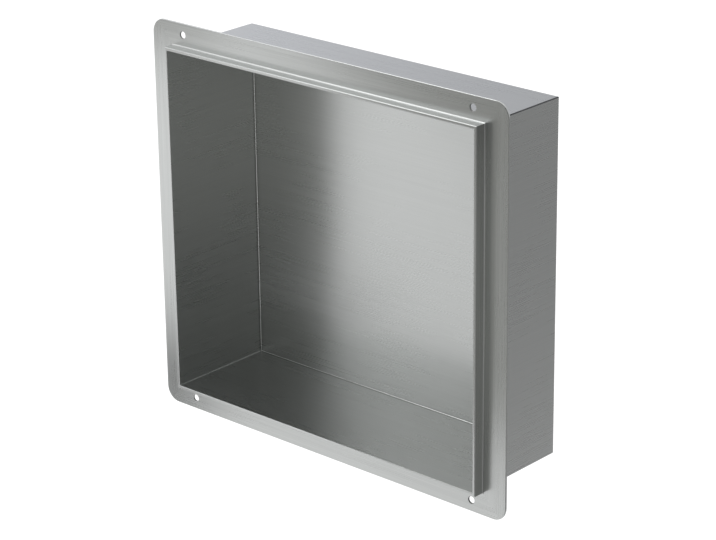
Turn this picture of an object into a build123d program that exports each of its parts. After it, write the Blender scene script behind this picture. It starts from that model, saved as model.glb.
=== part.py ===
from build123d import *
import os

# Shower niche insert, folded from one brushed stainless sheet and welded at its corners.
# The sheet runs in from the flange, turns forward as the outside of the lip, folds back on itself
# in a hem, and goes on as the niche wall to the bend of the back panel.
# X is to the right, Y into the wall and Z up, in millimetres. The origin is the middle of the
# opening on the wall plane, which the back of the flange seats on.

# Opening, inside the walls, and the depth from the front of the lip to the back panel
opening_width = 305.0
opening_height = 280.0
niche_depth = 95.0

# Sheet and its folds, with each bend measured on the inside of its turn, and the hem on the outside
sheet = 1.2
hem_gap = 0.1
hem_round = 0.6
lip_reach = 9.5
lip_bend = 1.0
back_bend = 0.5

# Corner welds, with the fillet inside the niche and the groove left open along the outside
weld_fillet = 0.7
weld_groove = 0.7

# Flange, measured from the opening to its outer edge
flange_side = 24.0
flange_top = 21.0
flange_corner = 12.0

# Rounding of the flange's front edges, round its rim and its holes
rim_round = 0.5

# Screw holes, in the middle of the top and bottom strips of the flange
hole_diameter = 5.5
hole_inset = 8.5

# Places that follow from the sizes above
lip_thickness = 2 * sheet + hem_gap
flange_front = -sheet
lip_front = flange_front - lip_reach
hem_start = lip_front + hem_round
back_inside = lip_front + niche_depth
back_outside = back_inside + sheet
flange_root = lip_thickness + lip_bend
hole_spacing_x = opening_width - 2 * hole_inset
hole_spacing_z = opening_height + lip_thickness + flange_top


def upright(depth):
    """Plane that faces the user at a depth in the wall, with x to the right and y up."""
    return Plane(origin=(0, depth, 0), x_dir=(1, 0, 0), z_dir=(0, -1, 0))


def folded_section():
    """Section of the lip and wall, with x outward from the opening and y into the wall.

    The line is the face that a user sees, from the flange to the back panel, and the thickness of
    the sheet is laid behind it.
    """
    seen = RadiusArc((flange_root, flange_front), (lip_thickness, flange_front - lip_bend), -lip_bend)
    seen += Line(seen @ 1, (lip_thickness, hem_start))
    seen += RadiusArc(seen @ 1, (lip_thickness - hem_round, lip_front), hem_round)
    seen += Line(seen @ 1, (hem_round, lip_front))
    seen += RadiusArc(seen @ 1, (0, hem_start), hem_round)
    seen += Line(seen @ 1, (0, back_inside - back_bend))
    seen += RadiusArc(seen @ 1, (-back_bend, back_inside), -back_bend)
    return make_face(offset(seen, sheet, side=Side.RIGHT))


def mitred_run(length, from_middle):
    """The folded section along the side below the middle of the opening, with a mitre at both ends."""
    inside, outside = length / 2 - back_bend, length / 2 + flange_root
    top, foot = back_bend - from_middle, -flange_root - from_middle
    below = Plane(origin=(0, 0, -from_middle), x_dir=(0, 0, -1), z_dir=(1, 0, 0))
    run = extrude(below * folded_section(), outside, both=True)
    mitres = make_face(Polyline((-inside, top), (inside, top), (outside, foot), (-outside, foot), close=True))
    return run & extrude(upright(back_outside) * mitres, back_outside - lip_front)


def lip_and_walls():
    """The folded section on all four sides of the opening, which meet at their mitres."""
    level = mitred_run(opening_width, opening_height / 2)
    standing = mitred_run(opening_height, opening_width / 2)
    sides = ((level, 0), (standing, 90), (level, 180), (standing, 270))
    return Part() + [Rotation(0, turn, 0) * run for run, turn in sides]


def flange():
    """Flat frame with rounded outer corners and its screw holes, rounded along its front edges."""
    outline = RectangleRounded(opening_width + 2 * flange_side, opening_height + 2 * flange_top, flange_corner)
    inside = Rectangle(opening_width + 2 * flange_root, opening_height + 2 * flange_root)
    holes = GridLocations(hole_spacing_x, hole_spacing_z, 2, 2) * Circle(hole_diameter / 2)
    plate = extrude(upright(0) * (outline - inside - holes), sheet)
    front = plate.faces().sort_by(Axis.Y)[0]
    hole_edges = front.edges().filter_by(lambda edge: edge.is_closed)
    return fillet(front.outer_wire().edges() + hole_edges, rim_round)


def back_panel():
    """Flat panel between the bends at the back of the walls."""
    panel = Rectangle(opening_width - 2 * back_bend, opening_height - 2 * back_bend)
    return extrude(upright(back_outside) * panel, sheet)


def weld_fillets():
    """Fillets of weld along the four corners inside the niche, from the hem to the back panel."""
    fillets = Rectangle(opening_width, opening_height)
    fillets -= RectangleRounded(opening_width, opening_height, weld_fillet)
    return extrude(upright(back_inside) * fillets, back_inside - hem_start)


def weld_grooves():
    """Bars that cut the groove along the outside of each corner, from the flange to the back panel."""
    corners = GridLocations(opening_width + 2 * sheet, opening_height + 2 * sheet, 2, 2)
    grooves = Sketch() + corners * Rectangle(2 * weld_groove, 2 * weld_groove)
    return extrude(upright(back_outside) * grooves, back_outside)


niche_insert = lip_and_walls() + flange() + back_panel() + weld_fillets() - weld_grooves()

os.makedirs("parts", exist_ok=True)
export_step(niche_insert, "parts/niche_insert.step")
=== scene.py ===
import bpy
import numpy as np
from mathutils import Matrix, Vector

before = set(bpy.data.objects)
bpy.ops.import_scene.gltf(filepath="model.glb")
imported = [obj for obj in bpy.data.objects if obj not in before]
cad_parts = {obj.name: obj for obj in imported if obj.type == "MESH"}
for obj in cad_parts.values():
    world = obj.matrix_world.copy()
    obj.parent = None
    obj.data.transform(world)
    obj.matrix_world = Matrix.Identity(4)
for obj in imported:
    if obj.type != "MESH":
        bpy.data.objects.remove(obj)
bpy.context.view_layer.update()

scene = bpy.context.scene


# Folded sheet
# The whole insert is one sheet of 304 stainless steel, 1.2 mm thick: flange, hemmed lip, walls and
# back. It is folded on a press brake, welded along its corners and then brushed by belt.
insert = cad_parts["niche_insert"]
half_opening = (0.1525, 0.0, 0.140)
just_outside = 0.0004


def linear(hex_colour):
    """Linear RGB and alpha of an sRGB hex colour: the inverse of the sRGB curve, channel by channel."""
    coded = np.array([int(hex_colour[i:i + 2], 16) for i in (1, 3, 5)]) / 255
    light = np.where(coded <= 0.04045, coded / 12.92, ((coded + 0.055) / 1.055) ** 2.4)
    return (*light.tolist(), 1.0)


def bare_material(name):
    """A material with nothing in its node tree yet."""
    material = bpy.data.materials.new(name)
    material.use_nodes = True
    material.node_tree.nodes.clear()
    return material


def add(tree, kind, sockets=None, **settings):
    """Adds a node with its settings, and gives each named socket a value or a link.

    A node given for a socket stands for its first output.
    """
    node = tree.nodes.new(kind)
    for name, value in settings.items():
        setattr(node, name, value)
    for socket, value in (sockets or {}).items():
        if isinstance(value, bpy.types.Node):
            value = value.outputs[0]
        if isinstance(value, bpy.types.NodeSocket):
            tree.links.new(value, node.inputs[socket])
        else:
            node.inputs[socket].default_value = value
    return node


# A Mix node has its own sockets for numbers, for vectors and for colours.
number_a, number_b = 2, 3
vector_a, vector_b, vector_out = 4, 5, 1
colour_a, colour_b, colour_out = 6, 7, 2

# Every finish of the steel goes by where a point is, how far it is outside the edge of the opening,
# and which way the sheet faces there.
steel = bare_material("brushed_304_stainless")
tree = steel.node_tree
coords = add(tree, "ShaderNodeTexCoord")
place = add(tree, "ShaderNodeSeparateXYZ", {"Vector": coords.outputs["Object"]})
spread = add(tree, "ShaderNodeVectorMath", {0: coords.outputs["Object"]}, operation="ABSOLUTE")
outward = add(tree, "ShaderNodeVectorMath", {0: spread, 1: half_opening}, operation="SUBTRACT")
out = add(tree, "ShaderNodeSeparateXYZ", {"Vector": outward})
facing = add(tree, "ShaderNodeVectorMath", {0: coords.outputs["Normal"]}, operation="ABSOLUTE")
face = add(tree, "ShaderNodeSeparateXYZ", {"Vector": facing})
halfway = 0.5

# The brushing runs along the strips of the flange and lip, with a mitre at the corners, into the
# depth of the niche on its side walls, and from side to side on its other faces.
farthest = add(tree, "ShaderNodeMath", {0: out.outputs["X"], 1: out.outputs["Z"]}, operation="MAXIMUM")
outside = add(tree, "ShaderNodeMath", {0: farthest, 1: just_outside}, operation="GREATER_THAN")
ahead_of_wall = add(tree, "ShaderNodeMath", {0: place.outputs["Y"], 1: just_outside}, operation="LESS_THAN")
border = add(tree, "ShaderNodeMath", {0: outside, 1: ahead_of_wall}, operation="MULTIPLY")
beside = add(tree, "ShaderNodeMath", {0: out.outputs["X"], 1: out.outputs["Z"]}, operation="GREATER_THAN")
upright = add(tree, "ShaderNodeMath", {0: border, 1: beside}, operation="MULTIPLY")
sideways = add(tree, "ShaderNodeMath", {0: face.outputs["X"], 1: halfway}, operation="GREATER_THAN")
inward = add(tree, "ShaderNodeMath", {0: sideways, 1: border}, operation="SUBTRACT", use_clamp=True)

# Belt brushing leaves fine scratches along the belt's way, so the steel mirrors softly, with faint
# streaks of lighter and darker grey. The scratches are 0.05 mm wide: they are drawn at 0.6 mm, as
# coarse as they need to be to show, in bands of about 4 mm and wiped patches of about 70 mm.
grain_width = 0.0006
grain_length = 0.110
band_width = 0.00375
patch_width = 1 / 14
band_share = 0.35
across = 1 / grain_width
along = 1 / grain_length
level_grain = (along, across, across)
upright_grain = (across, across, along)
inward_grain = (across, along, across)
on_border = add(tree, "ShaderNodeMix", {
    "Factor": upright, vector_a: level_grain, vector_b: upright_grain,
}, data_type="VECTOR")
stretch = add(tree, "ShaderNodeMix", {
    "Factor": inward, vector_a: on_border.outputs[vector_out], vector_b: inward_grain,
}, data_type="VECTOR")
brushed = add(tree, "ShaderNodeVectorMath", {
    0: coords.outputs["Object"], 1: stretch.outputs[vector_out],
}, operation="MULTIPLY")
streaks = add(tree, "ShaderNodeTexNoise", {
    "Vector": brushed, "Scale": 1.0, "Detail": 2.0, "Roughness": 0.6,
})
bands = add(tree, "ShaderNodeTexNoise", {
    "Vector": brushed, "Scale": grain_width / band_width, "Detail": 1.0, "Roughness": 0.5,
})
wiped = add(tree, "ShaderNodeTexNoise", {
    "Vector": coords.outputs["Object"], "Scale": 1 / patch_width, "Detail": 2.0, "Roughness": 0.5,
})
grain = add(tree, "ShaderNodeMix", {"Factor": band_share, number_a: streaks, number_b: bands})

# The flange and lip are brushed once more after folding, so their scratches are deeper.
border_depth = 1.0
inside_depth = 0.30
scratch_depth = 0.000016
tone_swing = 0.2
depth = add(tree, "ShaderNodeMath", {
    0: border, 1: border_depth - inside_depth, 2: inside_depth,
}, operation="MULTIPLY_ADD")
centred = add(tree, "ShaderNodeMath", {0: grain, 1: halfway}, operation="SUBTRACT")
deep = add(tree, "ShaderNodeMath", {0: centred, 1: depth}, operation="MULTIPLY")
tone = add(tree, "ShaderNodeMapRange", {"Value": deep, "From Min": -tone_swing, "From Max": tone_swing})
brushed_grey = add(tree, "ShaderNodeMix", {
    "Factor": tone, colour_a: linear("#BEC0BF"), colour_b: linear("#D2D4D3"),
}, data_type="RGBA")
scratches = add(tree, "ShaderNodeBump", {"Height": streaks, "Strength": depth, "Distance": scratch_depth})

# Where hands and cloths have wiped the steel, it is a little glossier.
wiped_share = 0.4
noise_low, noise_high = 0.3, 0.7
glossiest, dullest = 0.26, 0.30
gloss = add(tree, "ShaderNodeMix", {"Factor": wiped_share, number_a: grain, number_b: wiped})
brushed_rough = add(tree, "ShaderNodeMapRange", {
    "Value": gloss, "From Min": noise_low, "From Max": noise_high, "To Min": glossiest, "To Max": dullest,
})

# The screw holes are cut by laser, which leaves their walls dull and darker than the brushed face.
hole_place = (0.144, 0.0, 0.15175)
hole_reach = 0.0034
hole_turn = 0.88
unbrushed_rough = 0.5
from_hole = add(tree, "ShaderNodeVectorMath", {0: spread, 1: hole_place}, operation="DISTANCE")
at_hole = add(tree, "ShaderNodeMath", {0: from_hole.outputs["Value"], 1: hole_reach}, operation="LESS_THAN")
turned = add(tree, "ShaderNodeMath", {0: face.outputs["Y"], 1: hole_turn}, operation="LESS_THAN")
cut = add(tree, "ShaderNodeMath", {0: at_hole, 1: turned}, operation="MULTIPLY")
grey = add(tree, "ShaderNodeMix", {
    "Factor": cut, colour_a: brushed_grey.outputs[colour_out], colour_b: linear("#8A8B8A"),
}, data_type="RGBA")
rough = add(tree, "ShaderNodeMix", {"Factor": cut, number_a: brushed_rough, number_b: unbrushed_rough})

# Painted shade and highlight at the bends of the back panel: a near-white painted highlight on the
# curved bends, and a fine painted dark line of crease shade along the flat walls beside them.
bend_place = 0.0838
bend_reach = 0.0025
flat_turn = 0.05
near_bend = add(tree, "ShaderNodeMapRange", {
    "Value": place.outputs["Y"], "From Min": bend_place - bend_reach, "From Max": bend_place,
}, interpolation_type="SMOOTHSTEP")
by_bend = add(tree, "ShaderNodeMath", {0: near_bend, 1: outside}, operation="SUBTRACT", use_clamp=True)
flat = add(tree, "ShaderNodeMath", {0: face.outputs["Y"], 1: flat_turn}, operation="LESS_THAN")
# Painted shade: the flat wall just beside a bend is coloured darker, as crease shade.
painted_crease_shade = add(tree, "ShaderNodeMath", {0: by_bend, 1: flat}, operation="MULTIPLY")
grey = add(tree, "ShaderNodeMix", {
    "Factor": painted_crease_shade, colour_a: grey.outputs[colour_out], colour_b: linear("#909190"),
}, data_type="RGBA")
curved = add(tree, "ShaderNodeMath", {
    0: face.outputs["Y"], 1: halfway, 2: halfway - flat_turn,
}, operation="COMPARE")
# Painted highlight: the curved part of each bend is coloured near-white.
painted_bend_highlight = add(tree, "ShaderNodeMath", {0: by_bend, 1: curved}, operation="MULTIPLY")
grey = add(tree, "ShaderNodeMix", {
    "Factor": painted_bend_highlight, colour_a: grey.outputs[colour_out], colour_b: linear("#F0F2F1"),
}, data_type="RGBA")

# The welds along the outside of the corners are left as welded, dull and darkened by their heat.
nearest = add(tree, "ShaderNodeMath", {0: out.outputs["X"], 1: out.outputs["Z"]}, operation="MINIMUM")
in_groove = add(tree, "ShaderNodeMath", {0: nearest, 1: just_outside}, operation="GREATER_THAN")
weld = add(tree, "ShaderNodeMath", {0: in_groove, 1: ahead_of_wall}, operation="SUBTRACT", use_clamp=True)
grey = add(tree, "ShaderNodeMix", {
    "Factor": weld, colour_a: grey.outputs[colour_out], colour_b: linear("#7C7D7F"),
}, data_type="RGBA")
rough = add(tree, "ShaderNodeMix", {"Factor": weld, number_a: rough, number_b: unbrushed_rough})
shader = add(tree, "ShaderNodeBsdfPrincipled", {
    "Base Color": grey.outputs[colour_out], "Metallic": 1.0, "Roughness": rough, "Normal": scratches,
})
add(tree, "ShaderNodeOutputMaterial", {"Surface": shader})
insert.data.materials.clear()
insert.data.materials.append(steel)


# Studio floor
# A wide floor of white paper well below the insert, which hangs free as it would in its wall. Seen
# straight or in the steel it is white, and the part of it that only scatters light keeps the shadow.
floor_level = -0.85
floor_reach = 20.0


def sheet_at(z, left, right, near, far):
    """Corners of a level rectangle."""
    return [(left, near, z), (right, near, z), (right, far, z), (left, far, z)]


def card(name, corners, material, seen=False):
    """One flat polygon through the given corners, for the steel to mirror, and for the camera if seen."""
    mesh = bpy.data.meshes.new(name)
    mesh.from_pydata(corners, [], [tuple(range(len(corners)))])
    mesh.materials.append(material)
    piece = bpy.data.objects.new(name, mesh)
    scene.collection.objects.link(piece)
    piece.visible_camera = seen
    piece.visible_shadow = seen


paper = bare_material("white_paper")
tree = paper.node_tree
path = add(tree, "ShaderNodeLightPath")
straight = add(tree, "ShaderNodeMath", {
    0: path.outputs["Is Camera Ray"], 1: path.outputs["Is Glossy Ray"],
}, operation="ADD")
straight = add(tree, "ShaderNodeMath", {
    0: straight, 1: path.outputs["Is Transmission Ray"],
}, operation="ADD", use_clamp=True)
white = add(tree, "ShaderNodeEmission", {"Color": linear("#F2F2F2"), "Strength": straight})
matt = add(tree, "ShaderNodeBsdfDiffuse", {"Color": linear("#909090")})
surface = add(tree, "ShaderNodeAddShader", {0: matt, 1: white})
add(tree, "ShaderNodeOutputMaterial", {"Surface": surface})
card("floor", sheet_at(floor_level, -floor_reach, floor_reach, -floor_reach, floor_reach), paper, seen=True)


# Studio light
# Softboxes to the left, above and behind, grey cards to the right, flags hung before the niche and a
# table sheet under it, in a white room. The camera doesn't see the cards, but the steel mirrors them.
left_side = -1.0
right_side = 0.5
overhead = 1.15
table_level = -0.55
flag_place = -0.25


def glow(name, level, tint="#FFFFFF", fade=None):
    """Cloth or card that shines at a level where 1 is white, or fades along an axis to another level."""
    material = bare_material(name)
    tree = material.node_tree
    light = add(tree, "ShaderNodeEmission", {"Color": linear(tint), "Strength": level})
    if fade:
        coords = add(tree, "ShaderNodeTexCoord")
        place = add(tree, "ShaderNodeSeparateXYZ", {"Vector": coords.outputs["Object"]})
        ramp = add(tree, "ShaderNodeMapRange", {
            "Value": place.outputs[fade["axis"]], "From Min": fade["start"], "From Max": fade["end"],
            "To Min": level, "To Max": fade["last"],
        })
        tree.links.new(ramp.outputs["Result"], light.inputs["Strength"])
    add(tree, "ShaderNodeOutputMaterial", {"Surface": light})
    return material


def wall(x, near, far, low, high):
    """Corners of an upright rectangle that faces left or right."""
    return [(x, near, low), (x, far, low), (x, far, high), (x, near, high)]


def hung(name, outline, material):
    """Card that hangs before the niche, with the given outline to the right and up."""
    card(name, np.insert(outline, 1, flag_place, axis=1).tolist(), material)


card("left_softbox", wall(left_side, near=-1.7, far=0.3, low=table_level, high=-0.05),
     glow("softbox_low", level=1.05, fade=dict(axis="Y", start=-1.12, end=-1.3, last=0.85)))
card("upper_softbox", wall(left_side, near=-1.7, far=0.3, low=0.2, high=1.3),
     glow("softbox_high", level=1.0))
card("rear_softbox", wall(left_side, near=0.3, far=1.9, low=0.0, high=1.3),
     glow("softbox_rear", level=0.78, tint="#F7F8FF", fade=dict(axis="Y", start=0.9, end=1.6, last=0.5)))
card("top_softbox", sheet_at(overhead, left=-0.5, right=0.9, near=-1.3, far=1.4),
     glow("softbox_top", level=1.0))
card("strip_light", sheet_at(overhead, left=-1.4, right=-0.5, near=-1.1, far=0.8),
     glow("strip_light", level=2.6))
card("right_card", wall(right_side, near=-1.6, far=1.8, low=table_level, high=0.12),
     glow("card_right", level=0.35, fade=dict(axis="Z", start=-0.45, end=-0.1, last=0.31)))
card("right_rear", wall(right_side, near=0.15, far=1.2, low=0.12, high=1.1),
     glow("card_rear", level=0.75))
card("right_upper", wall(right_side, near=-1.6, far=0.15, low=0.12, high=1.1),
     glow("card_upper", level=0.5))
card("table_sheet", sheet_at(table_level, left=left_side, right=right_side, near=-1.6, far=0.6),
     glow("sheet_table", level=0.9))

flag_grey = glow("flag_grey", level=0.335, tint="#FFFFFA")
flag_black = glow("flag_black", level=0.04)
hung("flag", [
    (-0.09, -0.235), (0.09, -0.235), (0.09, 0.5), (0.0, 0.5), (0.0, 0.17),
    (-0.7, 0.17), (-0.7, 0.035), (-0.4, 0.04), (-0.28, 0.115), (-0.09, -0.04),
], flag_grey)
hung("flag_side", [
    (0.09, -0.17), (0.29, -0.17), (0.29, table_level), (0.5, table_level), (0.5, 0.06), (0.09, 0.03),
], flag_grey)
hung("flag_low", [
    (0.09, table_level), (0.29, table_level), (0.29, -0.17), (0.09, -0.17),
], flag_black)
hung("flag_high", [
    (0.09, 0.03), (0.5, 0.06), (0.5, 0.5), (0.09, 0.5),
], flag_black)
hung("flag_foot", [
    (-0.7, -0.36), (-0.425, -0.36), (-0.395, -0.32), (-0.355, -0.285), (-0.355, -0.252), (-0.7, -0.252),
], flag_black)

room = bpy.data.worlds.new("studio")
room.use_nodes = True
room.node_tree.nodes["Background"].inputs["Color"].default_value = linear("#FFFFFF")
scene.world = room


# Camera
# A long lens to the right of the niche and above it, with no shift. Its place and its turn are fitted
# to the edges of the flange, lip and box.
lens = bpy.data.cameras.new("camera")
lens.lens = 131.36
lens.sensor_width = 36.0
camera = bpy.data.objects.new("camera", lens)
scene.collection.objects.link(camera)
stand = Vector((1.25057, -1.34724, 0.70158))
to_right = Vector((0.74492, 0.66705, -0.01193))
to_foot = Vector((0.23139, -0.27509, -0.93316))
to_niche = Vector((-0.62574, 0.69236, -0.35927))
turn = Matrix((to_right, -to_foot, -to_niche)).transposed()
camera.matrix_world = Matrix.Translation(stand) @ turn.to_4x4()
scene.camera = camera

scene.view_settings.view_transform = "Standard"
